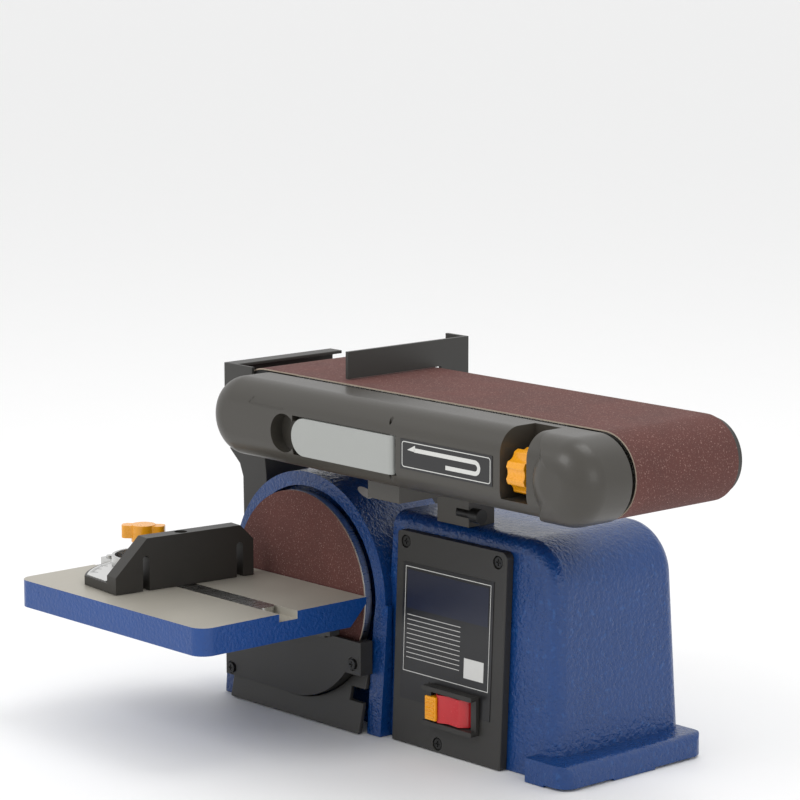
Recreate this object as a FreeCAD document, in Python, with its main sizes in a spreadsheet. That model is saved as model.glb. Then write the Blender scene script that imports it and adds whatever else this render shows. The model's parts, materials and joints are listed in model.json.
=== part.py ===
"""Bench sander with a 4 x 36 inch belt and a 6 inch disc, as a parametric document.

Frame: millimetres, +X along the belt towards the idler end, +Y from the disc face
towards the back, +Z up. The origin is the middle of the footprint, on the bench.
Every size in SIZES is a cell of the sheet, and the sub-parts are bound to those cells.
"""
import FreeCAD, Part
import math
import os
import re

import Sketcher
from FreeCAD import Placement, Rotation, Vector

SIZES = {
    # casting: footprint, drafted body on the right
    "base_length": 387.0, "base_depth": 147.0, "base_height": 172.0,
    "flange_height": 18.0, "flange_left_edge": 152.5, "wall": 6.0,
    "body_left": -16.0, "body_right": 171.5, "body_front": -61.5, "body_back": 73.5,
    "draft": 2.3, "corner_radius": 12.0, "shoulder_radius": 38.0, "edge_radius": 7.0,
    "ledge_height": 9.0, "bench_hole_x": 181.0, "bench_hole_radius": 3.4, "bench_hole_depth": 14.0,
    # casting: hood round the disc and the motor chamber behind it
    "disc_x": -98.5, "spindle_z": 100.5, "hood_radius": 90.0, "hood_front": -64.5,
    "hood_back": 11.5, "hood_wall": 8.0, "mouth_radius": 79.0, "mouth_depth": 14.0,
    "web": 7.0, "toe_reach": 8.0, "chamber_mouth_radius": 66.0, "spindle_hole_radius": 20.0,
    # disc and motor
    "disc_front": -73.5, "disc_radius": 76.2, "paper_depth": 1.0, "plate_depth": 7.0,
    "shaft_radius": 8.0, "stator_radius": 60.0, "stator_length": 32.0, "rotor_radius": 30.0,
    "air_gap": 0.5, "bell_depth": 11.0, "bearing_radius": 16.0, "bearing_depth": 9.0,
    "pulley_front": 24.0, "pulley_depth": 14.0, "motor_pulley_radius": 16.0,
    "drum_pulley_radius": 18.0, "drive_belt_gauge": 2.5, "lean": 0.0402, "plate_corner": 5.0,
    "plate_edge": 1.5, "vent_ring": 50.0, "dome_edge": 22.0,
    # belt deck
    "drum_x": -105.5, "deck_z": 243.2, "belt_front": -101.3, "belt_width": 101.6,
    "belt_length": 914.4, "belt_radius": 30.0, "belt_gauge": 1.0, "drum_gap": 0.3,
    "arm_front": -145.5, "arm_back": -105.5, "arm_radius": 30.0, "arm_edge": 18.0,
    "hub_radius": 16.0, "run_gap": 0.05, "ear_front": 3.0, "ear_depth": 8.0,
    "drum_shaft_radius": 6.0, "platen_gauge": 4.0, "stop_x": -20.0, "stop_gauge": 3.0,
    # tension and tracking
    "lever_x": 86.5, "lever_length": 106.0, "lever_height": 28.0, "lever_gauge": 6.0,
    "carriage_travel": 10.0, "axle_radius": 6.0, "track_x": 214.0, "track_radius": 16.0, "track_y": -129.0,
    "tail_x": 203.0,
    # switch panel
    "plate_left": 3.2, "plate_width": 118.1, "plate_top": 161.3, "plate_gauge": 7.0,
    "plate_face": -69.0, "switch_x": 71.5, "switch_z": 36.5, "rocker_width": 42.0,
    "rocker_height": 21.0,
    # work table and miter gauge
    "table_top": 107.5, "table_left": -245.5, "table_width": 228.0, "table_front": -234.5,
    "table_depth": 159.0, "skirt_height": 21.0, "table_gauge": 7.0, "slot_y": -152.25,
    "slot_width": 17.5, "slot_depth": 6.0, "bar_gap": 0.3, "gauge_x": -145.5, "lock_reach": 47.0, "head_radius": 74.0,
    "fence_length": 124.0, "fence_gauge": 13.0, "head_turn": 6.2, "knob_edge": 4.0,
    "pin_y": -90.0, "pin_z": 92.0, "pin_radius": 4.0, "stud_reach": 30.0, "stud_turn": 60.0,
    "stud_radius": 2.8, "lock_radius": 11.0,
}

LOOP_TURNS = 2.0
PANEL_SPOTS = (("plate_left + 9.7", "plate_top - 8"), ("plate_left + plate_width - 9", "plate_top - 8"),
               ("plate_left + 51", "6.5"))
BRACKET_SPOTS = (("drum_x - 18", "182"), ("drum_x + 24", "182"))
GUARD_SPOTS = (("disc_x + 71.7", "spindle_z - 46"), ("disc_x - 74", "spindle_z - 76"))
STUD = ("pin_y - stud_reach * cos(stud_turn)", "pin_z - stud_reach * sin(stud_turn)")
SIZES["idler_x"] = round(SIZES["drum_x"] + SIZES["belt_length"] / LOOP_TURNS
                         - math.pi * (SIZES["belt_radius"] + SIZES["belt_gauge"] / 2), 3)

DOC = FreeCAD.newDocument("BenchSander")
PARTS = []
AXES = {"x": Rotation(Vector(0, 1, 0), 90), "y": Rotation(Vector(1, 0, 0), -90), "z": Rotation()}


def write_sheet():
    """Write every size to the sheet as plain text, with its alias."""
    sheet = DOC.addObject("Spreadsheet::Sheet", "Sizes")
    for row, (alias, value) in enumerate(SIZES.items(), start=1):
        sheet.set(f"A{row}", alias.replace("_", " "))
        sheet.set(f"B{row}", str(value))
        sheet.setAlias(f"B{row}", alias)
    DOC.recompute()


def formula(text):
    """Return text with each alias in it written as a reference to the sheet."""
    return re.sub(r"[a-z][a-z0-9_]*", lambda word: f"Sizes.{word[0]}" if word[0] in SIZES else word[0],
                  str(text))


def bind(obj, sizes):
    """Bind properties of obj to formulas over the sheet."""
    for name, text in sizes.items():
        obj.setExpression(name, formula(text))
    return obj


def place(obj, x, y, z):
    """Bind where obj stands."""
    return bind(obj, {"Placement.Base.x": x, "Placement.Base.y": y, "Placement.Base.z": z})


def box(x, y, z, length, width, height, label="block"):
    """A block from its lowest corner and its three lengths."""
    obj = DOC.addObject("Part::Box", label)
    bind(obj, {"Length": length, "Width": width, "Height": height})
    return place(obj, x, y, z)


def rod(axis, x, y, z, radius, length, label="round"):
    """A cylinder along an axis from the middle of its first face."""
    obj = DOC.addObject("Part::Cylinder", label)
    obj.Placement = Placement(Vector(), AXES[axis])
    bind(obj, {"Radius": radius, "Height": length})
    return place(obj, x, y, z)


def cone(axis, x, y, z, radius, end_radius, length, label="taper"):
    """A cone along an axis from the middle of its first face."""
    obj = DOC.addObject("Part::Cone", label)
    obj.Placement = Placement(Vector(), AXES[axis])
    bind(obj, {"Radius1": radius, "Radius2": end_radius, "Height": length})
    return place(obj, x, y, z)


def fuse(*shapes, label="joined"):
    """One solid from several."""
    obj = DOC.addObject("Part::MultiFuse", label)
    obj.Shapes = list(shapes)
    obj.Refine = True
    return obj


def cut(base, *tools, label="cut"):
    """The base less every tool."""
    obj = DOC.addObject("Part::Cut", label)
    obj.Base = base
    obj.Tool = tools[0] if len(tools) == 1 else fuse(*tools, label="tools")
    return obj


def common(base, tool, label="kept"):
    """What two shapes share."""
    obj = DOC.addObject("Part::Common", label)
    obj.Base = base
    obj.Tool = tool
    return obj


def group(*shapes, label="set"):
    """Several separate solids as one object."""
    obj = DOC.addObject("Part::Compound", label)
    obj.Links = list(shapes)
    return obj


def ring(axis, x, y, z, radius, bore, length, label="ring"):
    """A tube along an axis."""
    return cut(rod(axis, x, y, z, radius, length), rod(axis, x, y, z, bore, length), label=label)


def turned(axis_point, axis, degrees, obj):
    """Turn a finished object about an axis through a point."""
    placement = Placement(Vector(), Rotation(Vector(*axis), degrees), Vector(*axis_point))
    obj.Placement = placement.multiply(obj.Placement)
    return obj


def stadium(axis_y, depth, left_x, right_x, z, radius, label="stadium"):
    """A long block with round ends, along X, seen from the front."""
    return fuse(rod("y", left_x, axis_y, z, radius, depth), rod("y", right_x, axis_y, z, radius, depth),
                box(left_x, axis_y, f"{z} - ({radius})", f"{right_x} - ({left_x})", depth, f"2 * ({radius})"),
                label=label)


PLANES = {"XY": ("XY_Plane", 1), "XZ": ("XZ_Plane", -1), "YZ": ("YZ_Plane", 1)}


def prism(plane, outline, start, depth, taper=None, label="prism"):
    """A PartDesign body: a pad of an outline whose corners are bound to the sheet.

    The pad grows along the third axis from start, for depth, and a taper leans its sides in.
    """
    body = DOC.addObject("PartDesign::Body", label)
    role, sense = PLANES[plane]
    origin = next(item for item in body.Origin.OriginFeatures if item.Role == role)
    sketch = body.newObject("Sketcher::SketchObject", label + "_outline")
    sketch.AttachmentSupport = (origin, [""])
    sketch.MapMode = "FlatFace"
    shift = start if sense > 0 else f"-(({start}) + ({depth}))"
    sketch.setExpression("AttachmentOffset.Base.z", formula(shift))
    corners = [[number(text) for text in corner] for corner in outline]
    count = len(corners)
    for index in range(count):
        first, last = corners[index], corners[(index + 1) % count]
        sketch.addGeometry(Part.LineSegment(Vector(*first, 0), Vector(*last, 0)), False)
    for index in range(count):
        sketch.addConstraint(Sketcher.Constraint("Coincident", index, 2, (index + 1) % count, 1))
    for index, (across, up) in enumerate(outline):
        for kind, text, value in (("DistanceX", across, corners[index][0]), ("DistanceY", up, corners[index][1])):
            name = sketch.addConstraint(Sketcher.Constraint(kind, -1, 1, index, 1, value))
            sketch.setExpression(f"Constraints[{name}]", formula(text))
    pad = body.newObject("PartDesign::Pad", label + "_pad")
    pad.Profile = sketch
    bind(pad, {"Length": depth})
    if taper is not None:
        bind(pad, {"TaperAngle": taper})
    body.Tip = pad
    return body


PROBE = []


def number(text):
    """The value of a formula, worked out by the document itself."""
    if not PROBE:
        PROBE.append(DOC.addObject("App::FeaturePython", "Probe"))
        PROBE[0].addProperty("App::PropertyFloat", "Value")
    PROBE[0].setExpression("Value", formula(text))
    PROBE[0].recompute()
    return PROBE[0].Value


def edges_where(shape, test):
    """The numbers of the edges whose middle and direction pass a test."""
    found = []
    for index, edge in enumerate(shape.Edges, start=1):
        middle = edge.valueAt((edge.FirstParameter + edge.LastParameter) / 2)
        direction = edge.tangentAt((edge.FirstParameter + edge.LastParameter) / 2)
        if test(middle, direction):
            found.append(index)
    return found


def rounded(base, *rules, label="rounded"):
    """A Part fillet with one radius, by its alias, for the edges of each rule."""
    DOC.recompute()
    obj = DOC.addObject("Part::Fillet", label)
    obj.Base = base
    taken = {}
    for radius, test in rules:
        for index in edges_where(base.Shape, test):
            taken.setdefault(index, number(radius))
    obj.Edges = [(index, radius, radius) for index, radius in sorted(taken.items())]
    DOC.recompute()
    return obj


def keep(obj, node):
    """Name a finished sub-part after its node and keep it for writing."""
    obj.Label = node
    PARTS.append(obj)
    return obj


def near(value, target, slack=0.6):
    """Whether two sizes are close."""
    return abs(value - target) < slack


def base_casting():
    """Cast base: drafted hollow body, hood round the disc, flange with bolt holes."""
    def body(inset, label):
        corners = [(f"body_left + {inset}", f"body_front + {inset}"), (f"body_right - {inset}", f"body_front + {inset}"),
                   (f"body_right - {inset}", f"body_back - {inset}"), (f"body_left + {inset}", f"body_back - {inset}")]
        return prism("XY", corners, "0", f"base_height - {inset}", "-draft", label)

    height, right = SIZES["base_height"], SIZES["body_right"]
    outer = rounded(
        body("0", "body_block"),
        ("shoulder_radius", lambda mid, way: abs(way.y) > 0.9 and near(mid.z, height) and mid.x > right / 2),
        label="body_shoulder")
    outer = rounded(
        outer,
        ("corner_radius", lambda mid, way: abs(way.y) < 0.5 and mid.z > 5 and mid.x > 0),
        label="body_edges")
    hollow = rounded(body("wall", "body_inside"), (
        "shoulder_radius", lambda mid, way: abs(way.y) > 0.9 and near(mid.z, height - SIZES["wall"])
        and mid.x > right / 2), label="body_hollow")
    hood = fuse(rod("y", "disc_x", "hood_front", "spindle_z", "hood_radius", "hood_back - hood_front"),
                box("disc_x - hood_radius", "hood_front", "0", "2 * hood_radius", "hood_back - hood_front",
                    "spindle_z"), label="hood")
    hood_inside = fuse(
        rod("y", "disc_x", "hood_front + mouth_depth + web", "spindle_z", "hood_radius - hood_wall",
            "hood_back - hood_front - mouth_depth - web - hood_wall"),
        box("disc_x - hood_radius + hood_wall", "hood_front + mouth_depth + web", "-1",
            "2 * (hood_radius - hood_wall)", "hood_back - hood_front - mouth_depth - web - hood_wall",
            "spindle_z + 1"), label="motor_chamber")
    mouth = fuse(rod("y", "disc_x", "hood_front - 20", "spindle_z", "mouth_radius", "mouth_depth + 20"),
                 box("disc_x - mouth_radius + 1", "hood_front - 20", "-1", "2 * mouth_radius - 2",
                     "mouth_depth + 20", "spindle_z + 1"), label="disc_mouth")
    toes = [prism("YZ", [("hood_front - toe_reach", "0"), ("hood_front + 4", "0"), ("hood_front + 4", "spindle_z"),
                         ("hood_front", "spindle_z")], left, "15", label="column_toe")
            for left in ("disc_x - hood_radius - 3", "disc_x + hood_radius - 12")]
    flange = rounded(
        box("flange_left_edge", "-base_depth / 2", "0", "base_length / 2 - flange_left_edge", "base_depth",
            "flange_height", "flange"),
        ("corner_radius", lambda mid, way: abs(way.z) > 0.9 and mid.x > right),
        ("edge_radius", lambda mid, way: mid.z > 17 and mid.x > right and abs(way.y) > 0.9), label="flange_round")
    ledge = box("-base_length / 2", "hood_back - 1", "0", "base_length / 2 + body_left + 1",
                "base_depth / 2 - hood_back + 1", "ledge_height")
    foot = box("-base_length / 2", "-14", "0", "20", "28", "ledge_height")
    solid = fuse(outer, hood, *toes, flange, ledge, foot, label="base_solid")
    boss = rod("z", "-bench_hole_x", "0", "0", "9", "30")
    rib = box("-3", "body_front + 2", "0", "6", "body_back - body_front - 5", "40")
    tools = [
        hood_inside, mouth, hollow,
        rod("y", "disc_x", "hood_back - 20", "spindle_z", "chamber_mouth_radius", "21"),
        rod("y", "disc_x", "hood_front", "spindle_z", "spindle_hole_radius", "40"),
        box("switch_x - 23", "body_front - 15", "switch_z - 12.5", "46", "40", "25"),
        box("body_right", "-base_depth / 2 - 1", "-1", "40", "base_depth / 2 - 22.5", "2.5"),
        box("body_right", "19.5", "-1", "40", "base_depth / 2 - 18.5", "2.5"),
        rod("y", "120", "body_back - 20", "40", "8", "30"),
    ]
    guard_bosses = [rod("y", x, "disc_front + 4.2", z, "6", "19") for x, z in GUARD_SPOTS]
    shell = fuse(cut(solid, *tools, label="base_shell"), boss, rib, *guard_bosses)
    holes = [rod("z", f"{side} * bench_hole_x", "0", "-1", "bench_hole_radius", "bench_hole_depth + 1")
             for side in (-1, 1)]
    taps = [rod("y", x, "disc_front", z, "2.1", "16") for x, z in GUARD_SPOTS]
    taps += [rod("y", x, "plate_face", z, "2.1", "20") for x, z in PANEL_SPOTS]
    taps += [rod("y", x, "hood_back - 8", z, "3.1", "9") for x, z in BRACKET_SPOTS]
    keep(cut(shell, *holes, *taps), "base_casting")


def switch_panel():
    """Panel, its screws, label plate, bezel, switch body, rocker and safety key."""
    def leaning(front, depth, low, high, left, width, label):
        face = f"plate_face - {front}"
        return prism("YZ", [(f"{face} + lean * ({low})", low), (f"{face} + {depth} + lean * ({low})", low),
                            (f"{face} + {depth} + lean * ({high})", high), (f"{face} + lean * ({high})", high)],
                     left, width, label=label)

    panel = leaning("0", "plate_gauge", "0.5", "plate_top", "plate_left", "plate_width", "panel_slab")
    panel = rounded(panel, ("plate_corner", lambda mid, way: abs(way.y) > 0.9 and mid.z > 1),
                    ("plate_edge", lambda mid, way: mid.y < -60 and abs(way.z) > 0.9), label="panel_round")
    pockets = [rod("y", x, f"plate_face - 2 + lean * ({z})", z, "5", "5") for x, z in PANEL_SPOTS]
    bores = [rod("y", x, "plate_face", z, "2.2", "20") for x, z in PANEL_SPOTS]
    opening = box("switch_x - 22", "plate_face - 5", "switch_z - 11.5", "44", "30", "23")
    keep(cut(panel, *pockets, *bores, opening), "switch_panel")
    seats = [(x, f"plate_face + 3 + lean * ({z})", z, "9") for x, z in PANEL_SPOTS]
    seats += [(x, "disc_front - 7", z, "20") for x, z in GUARD_SPOTS]
    keep(group(*[machine_screw(*seat) for seat in seats]), "panel_screws")
    label = leaning("0.5", "0.5", "34.5", "plate_top - 23", "plate_left + 8.5", "98", "label_slab")
    keep(cut(label, box("switch_x - 28", "plate_face - 10", "switch_z - 20", "56", "30", "35.5")), "rating_label")
    frame = fuse(box("switch_x - 27", "plate_face - 2", "switch_z - 15", "54", "2.8", "30"),
                 *[box("switch_x - 27", "plate_face - 7", f"switch_z - {low}", "54", "7.8", "3.5")
                   for low in ("15", "-11.5")])
    keep(cut(rounded(frame, ("plate_edge", lambda mid, way: abs(way.y) > 0.9)),
             box("switch_x - 21.5", "plate_face - 3", "switch_z - 11.3", "43", "8", "22.6")), "switch_bezel")
    well = box("switch_x - 21.8", "plate_face + 6", "switch_z - 11.3", "43.6", "34", "22.6")
    room = box("switch_x - 21.3", "plate_face + 5", "switch_z - 10.9", "42.6", "12", "21.8")
    keep(cut(well, room), "switch_body")
    paddle = cut(common(rod("z", "switch_x", "plate_face + 11", "switch_z - rocker_height / 2",
                            "rocker_width / 2 - 0.5", "rocker_height"),
                        box("switch_x - 40", "plate_face - 40", "switch_z - 40", "80", "50", "80")),
                 prism("XY", [("switch_x - 30", "plate_face - 16"), ("switch_x - 12", "plate_face - 9"),
                              ("switch_x", "plate_face - 4.5"), ("switch_x + 22", "plate_face - 7"),
                              ("switch_x + 30", "plate_face - 16")], "switch_z - 30", "60", label="paddle_dip"))
    key_room = box("switch_x - 18.3", "plate_face - 30", "switch_z - 8.3", "9.6", "38", "16.6")
    keep(cut(paddle, key_room), "switch_rocker")
    key = fuse(box("switch_x - 18", "plate_face - 8.5", "switch_z - 8", "9", "15.5", "16"),
               box("switch_x - 19.5", "plate_face - 10.5", "switch_z - 9", "11.5", "2.2", "18"))
    keep(key, "safety_key")


def machine_screw(x, seat, z, reach):
    """A cross-recessed pan head screw: the head bears on a seat and the shank runs back by reach."""
    recess = [box(f"{x} - {half_x}", f"{seat} - 3", f"{z} - {half_z}", f"2 * {half_x}", "1.6", f"2 * {half_z}")
              for half_x, half_z in ((2.4, 0.5), (0.5, 2.4))]
    return fuse(cut(rod("y", x, f"{seat} - 2.4", z, "4", "2.4"), *recess), rod("y", x, seat, z, "2", reach))


def disc_end():
    """Abrasive disc, plate, shaft and the guards round the disc."""
    keep(rod("y", "disc_x", "disc_front", "spindle_z", "disc_radius", "paper_depth"), "abrasive_disc")
    plate = fuse(ring("y", "disc_x", "disc_front + paper_depth", "spindle_z", "disc_radius", "shaft_radius",
                      "plate_depth"),
                 ring("y", "disc_x", "disc_front + paper_depth + plate_depth", "spindle_z", "18", "shaft_radius",
                      "12"))
    keep(plate, "disc_plate")
    guard_plane = "disc_front - 8"
    skirt = fuse(common(rod("y", "disc_x", guard_plane, "spindle_z", "83", "12"),
                        box("disc_x - 81", guard_plane, "spindle_z - 83", "162", "12", "55")),
                 box("disc_x - 81", guard_plane, "spindle_z - 82", "81", "12", "54"),
                 box("disc_x + 62", guard_plane, "spindle_z - 54", "19", "12", "26"))
    room = fuse(common(rod("y", "disc_x", f"{guard_plane} + 3", "spindle_z", "80", "12"),
                       box("disc_x - 78", guard_plane, "spindle_z - 80", "156", "12", "60")),
                box("disc_x - 78", f"{guard_plane} + 3", "spindle_z - 79", "78", "12", "60"))
    bores = [rod("y", x, f"{guard_plane} - 1", z, "2.3", "20") for x, z in GUARD_SPOTS]
    sinks = [rod("y", x, f"{guard_plane} - 1", z, "5.2", "2") for x, z in GUARD_SPOTS]
    posts = [rod("y", x, guard_plane, z, "6", "12") for x, z in GUARD_SPOTS]
    toe_room = box("disc_x - 85", "disc_front + 2", "spindle_z - 90", "8.2", "10", "50")
    keep(cut(fuse(cut(skirt, room), *posts), *bores, *sinks, toe_room), "disc_guard")
    panel = prism("YZ", [("disc_front - 7", "0.5"), ("disc_front - 3", "0.5"), ("disc_front + 6.4", "46"),
                         ("disc_front + 2.4", "46")], "disc_x - 77", "154", label="panel_profile")
    window = box("disc_x + 61", "disc_front - 20", "24", "18", "40", "10")
    keep(cut(panel, window, rod("y", "disc_x", "disc_front - 20", "spindle_z", "84", "40"),
             box("disc_x - 80", "disc_front - 20", "18", "80", "40", "40")), "lower_panel")
    keep(rod("y", "disc_x", "disc_front + paper_depth + 2", "spindle_z", "shaft_radius",
             "pulley_front + pulley_depth + 4 - disc_front - paper_depth - 2"), "motor_shaft")
    chute = [prism("XZ", [("disc_x - 83 + {0}".format(inset), "spindle_z + 20"),
                          ("disc_x - 84 + {0}".format(inset), "spindle_z + 74"),
                          ("disc_x - 88 + {0}".format(inset), "spindle_z + 84"),
                          ("disc_x - 101 + {0}".format(inset), "spindle_z + {0}".format(top)),
                          ("disc_x - 57 - {0}".format(inset), "spindle_z + {0}".format(top)),
                          ("disc_x - 55 - {0}".format(inset), "spindle_z + 80"),
                          ("disc_x - 51 - {0}".format(inset), "spindle_z + 20")],
                   f"hood_front + 4 + {inset}", f"44 - 2 * {inset}", label="chute_span")
             for inset, top in ((0, 95), (3, 96))]
    keep(cut(*chute, rod("y", "disc_x", "hood_front", "spindle_z", "hood_radius + 0.1", "60")), "dust_chute")


def motor():
    """Induction motor in the hood: bells, core, windings, rotor and bearings."""
    front = "hood_front + mouth_depth + web"
    stack = f"{front} + bell_depth"
    rear = f"{stack} + stator_length"
    keep(cut(rod("y", "disc_x", front, "spindle_z", "stator_radius + 2", "bell_depth"),
             rod("y", "disc_x", f"{front} + 2", "spindle_z", "stator_radius - 6", "bell_depth"),
             rod("y", "disc_x", f"{front} - 1", "spindle_z", "shaft_radius + 2", "bell_depth"), label="front_cup"),
         "motor_front_bell")
    keep(cut(rod("y", "disc_x", rear, "spindle_z", "stator_radius + 2", "bell_depth"),
             rod("y", "disc_x", f"{rear} - 1", "spindle_z", "stator_radius - 6", "bell_depth - 1"),
             rod("y", "disc_x", rear, "spindle_z", "shaft_radius + 2", "bell_depth + 1")), "motor_rear_bell")
    keep(ring("y", "disc_x", stack, "spindle_z", "stator_radius", "rotor_radius + air_gap + 8", "stator_length"),
         "stator_core")
    keep(ring("y", "disc_x", f"{stack} - 2", "spindle_z", "rotor_radius + air_gap + 8", "rotor_radius + air_gap",
              "stator_length + 4"), "stator_winding")
    keep(ring("y", "disc_x", stack, "spindle_z", "rotor_radius", "shaft_radius", "stator_length"), "rotor_core")
    keep(group(ring("y", "disc_x", f"{front} + 2.2", "spindle_z", "bearing_radius", "shaft_radius + run_gap", "6"),
               ring("y", "disc_x", f"{rear} + 2", "spindle_z", "bearing_radius", "shaft_radius + run_gap", "6")),
         "motor_bearings")
    cover = cut(ring("y", "disc_x", "hood_back", "spindle_z", "chamber_mouth_radius + 6", "12", "3"),
                *[vent_slot(step) for step in range(8)])
    keep(cover, "motor_rear_cover")
    keep(rod("x", "-4", "30", "120", "17", "50"), "run_capacitor")
    gland = fuse(cone("y", "120", "body_back - 1", "40", "11", "7.5", "12"), rod("y", "120", "body_back - 12", "40", "7.9", "12"))
    keep(cut(gland, rod("y", "120", "body_back - 13", "40", "4", "40")), "cord_gland")


def vent_slot(step):
    """One vent slot of the rear cover, between the drive cover and the rim."""
    angle = 22.5 + 45 * step
    slot = box("0", "0", "0", "6", "10", "12", "vent")
    slot.Placement = Placement(Vector(), Rotation(Vector(0, 1, 0), angle))
    return place(slot, f"disc_x + vent_ring * sin({angle}) - 3 * cos({angle})", "hood_back - 5",
                 f"spindle_z + vent_ring * cos({angle}) + 3 * sin({angle})")


def belt_wire(radius, end_radius):
    """A closed outline round the motor pulley and the drum pulley, of the given radii."""
    low = Vector(SIZES["disc_x"], SIZES["pulley_front"], SIZES["spindle_z"])
    high = Vector(SIZES["drum_x"], SIZES["pulley_front"], SIZES["deck_z"])
    way = (high - low).normalize()
    lean = math.asin((end_radius - radius) / (high - low).Length)
    side = Rotation(Vector(0, 1, 0), 90).multVec(way)

    def at(centre, size, sign):
        return centre + (side * (sign * math.cos(lean)) - way * math.sin(lean)) * size

    first, last = at(low, radius, 1), at(low, radius, -1)
    top_first, top_last = at(high, end_radius, 1), at(high, end_radius, -1)
    return Part.Wire([Part.Arc(first, low - way * radius, last).toShape(), Part.makeLine(last, top_last),
                      Part.Arc(top_last, high + way * end_radius, top_first).toShape(),
                      Part.makeLine(top_first, first)])


def drive():
    """Pulleys, their belt, the pivot bracket on the hood and the drive cover."""
    pulley = ring("y", "disc_x", "pulley_front", "spindle_z", "motor_pulley_radius", "shaft_radius", "pulley_depth")
    rims = [ring("y", "disc_x", f"pulley_front + {offset}", "spindle_z", "motor_pulley_radius + 4", "shaft_radius",
                 "1.5") for offset in ("-1.5", "pulley_depth")]
    keep(fuse(pulley, *rims), "motor_pulley")
    keep(ring("y", "drum_x", "pulley_front", "deck_z", "drum_pulley_radius", "drum_shaft_radius", "pulley_depth"),
         "drum_pulley")
    gap, gauge = SIZES["drum_gap"], SIZES["drive_belt_gauge"]
    inner = [SIZES["motor_pulley_radius"] + gap, SIZES["drum_pulley_radius"] + gap]
    strap = Part.Face(belt_wire(*(size + gauge for size in inner))).cut(Part.Face(belt_wire(*inner)))
    belt = DOC.addObject("Part::Feature", "drive_belt_loop")
    belt.Shape = strap.extrude(Vector(0, SIZES["pulley_depth"] - 2, 0)).translated(Vector(0, 1, 0))
    keep(belt, "drive_belt")
    plate = fuse(box("drum_x - 26", "hood_back", "174", "58", "9", "deck_z - 174"),
                 rod("y", "drum_x", "hood_back", "deck_z", "26", "9"),
                 rod("y", "drum_x", "1.5", "deck_z", "hub_radius", "hood_back - 1"), label="bracket_plate")
    keep(cut(plate, rod("y", "drum_x", "0", "deck_z", "11", "30"), *[rod("y", x, "0", z, "3.2", "30") for x, z in BRACKET_SPOTS]),
         "pivot_bracket")
    keep(group(*[fuse(rod("y", x, "hood_back + 9", z, "5.5", "3.2"), rod("y", x, "hood_back - 6", z, "3", "15"))
                 for x, z in BRACKET_SPOTS]), "bracket_bolts")
    keep(ring("y", "drum_x", "3", "deck_z", "11", "drum_shaft_radius + run_gap", "14"), "drum_rear_bearing")

    def shell(grow, front, depth):
        return fuse(rod("y", "drum_x", front, "deck_z", f"24 + {grow}", depth),
                    rod("y", "disc_x", front, "spindle_z", f"36 + {grow}", depth),
                    prism("XZ", [(f"disc_x - 36 - {grow}", "spindle_z"), (f"disc_x + 36 + {grow}", "spindle_z"),
                                 (f"drum_x + 24 + {grow}", "deck_z"), (f"drum_x - 24 - {grow}", "deck_z")],
                          front, depth), label="drive_shell")

    outer = shell("3", "21", "25")
    collar = ring("y", "disc_x", "hood_back + 3", "spindle_z", "38", "35", "7")
    spots = (("drum_x", "198"), ("disc_x", "spindle_z - 33"))
    posts = [rod("y", *spots[0][:1], "20.5", spots[0][1], "4", "24.5"), rod("y", *spots[1][:1], "14.5", spots[1][1], "4", "30.5")]
    bores = [rod("y", x, "10", z, "1.8", "50") for x, z in spots]
    keep(cut(fuse(cut(outer, shell("0", "20", "23")), collar, *posts), *bores), "drive_cover")
    keep(group(*[fuse(rod("y", x, "46", z, "3.6", "2.2"), rod("y", x, "24", z, "1.7", "22")) for x, z in spots]),
         "drive_cover_screws")


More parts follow.
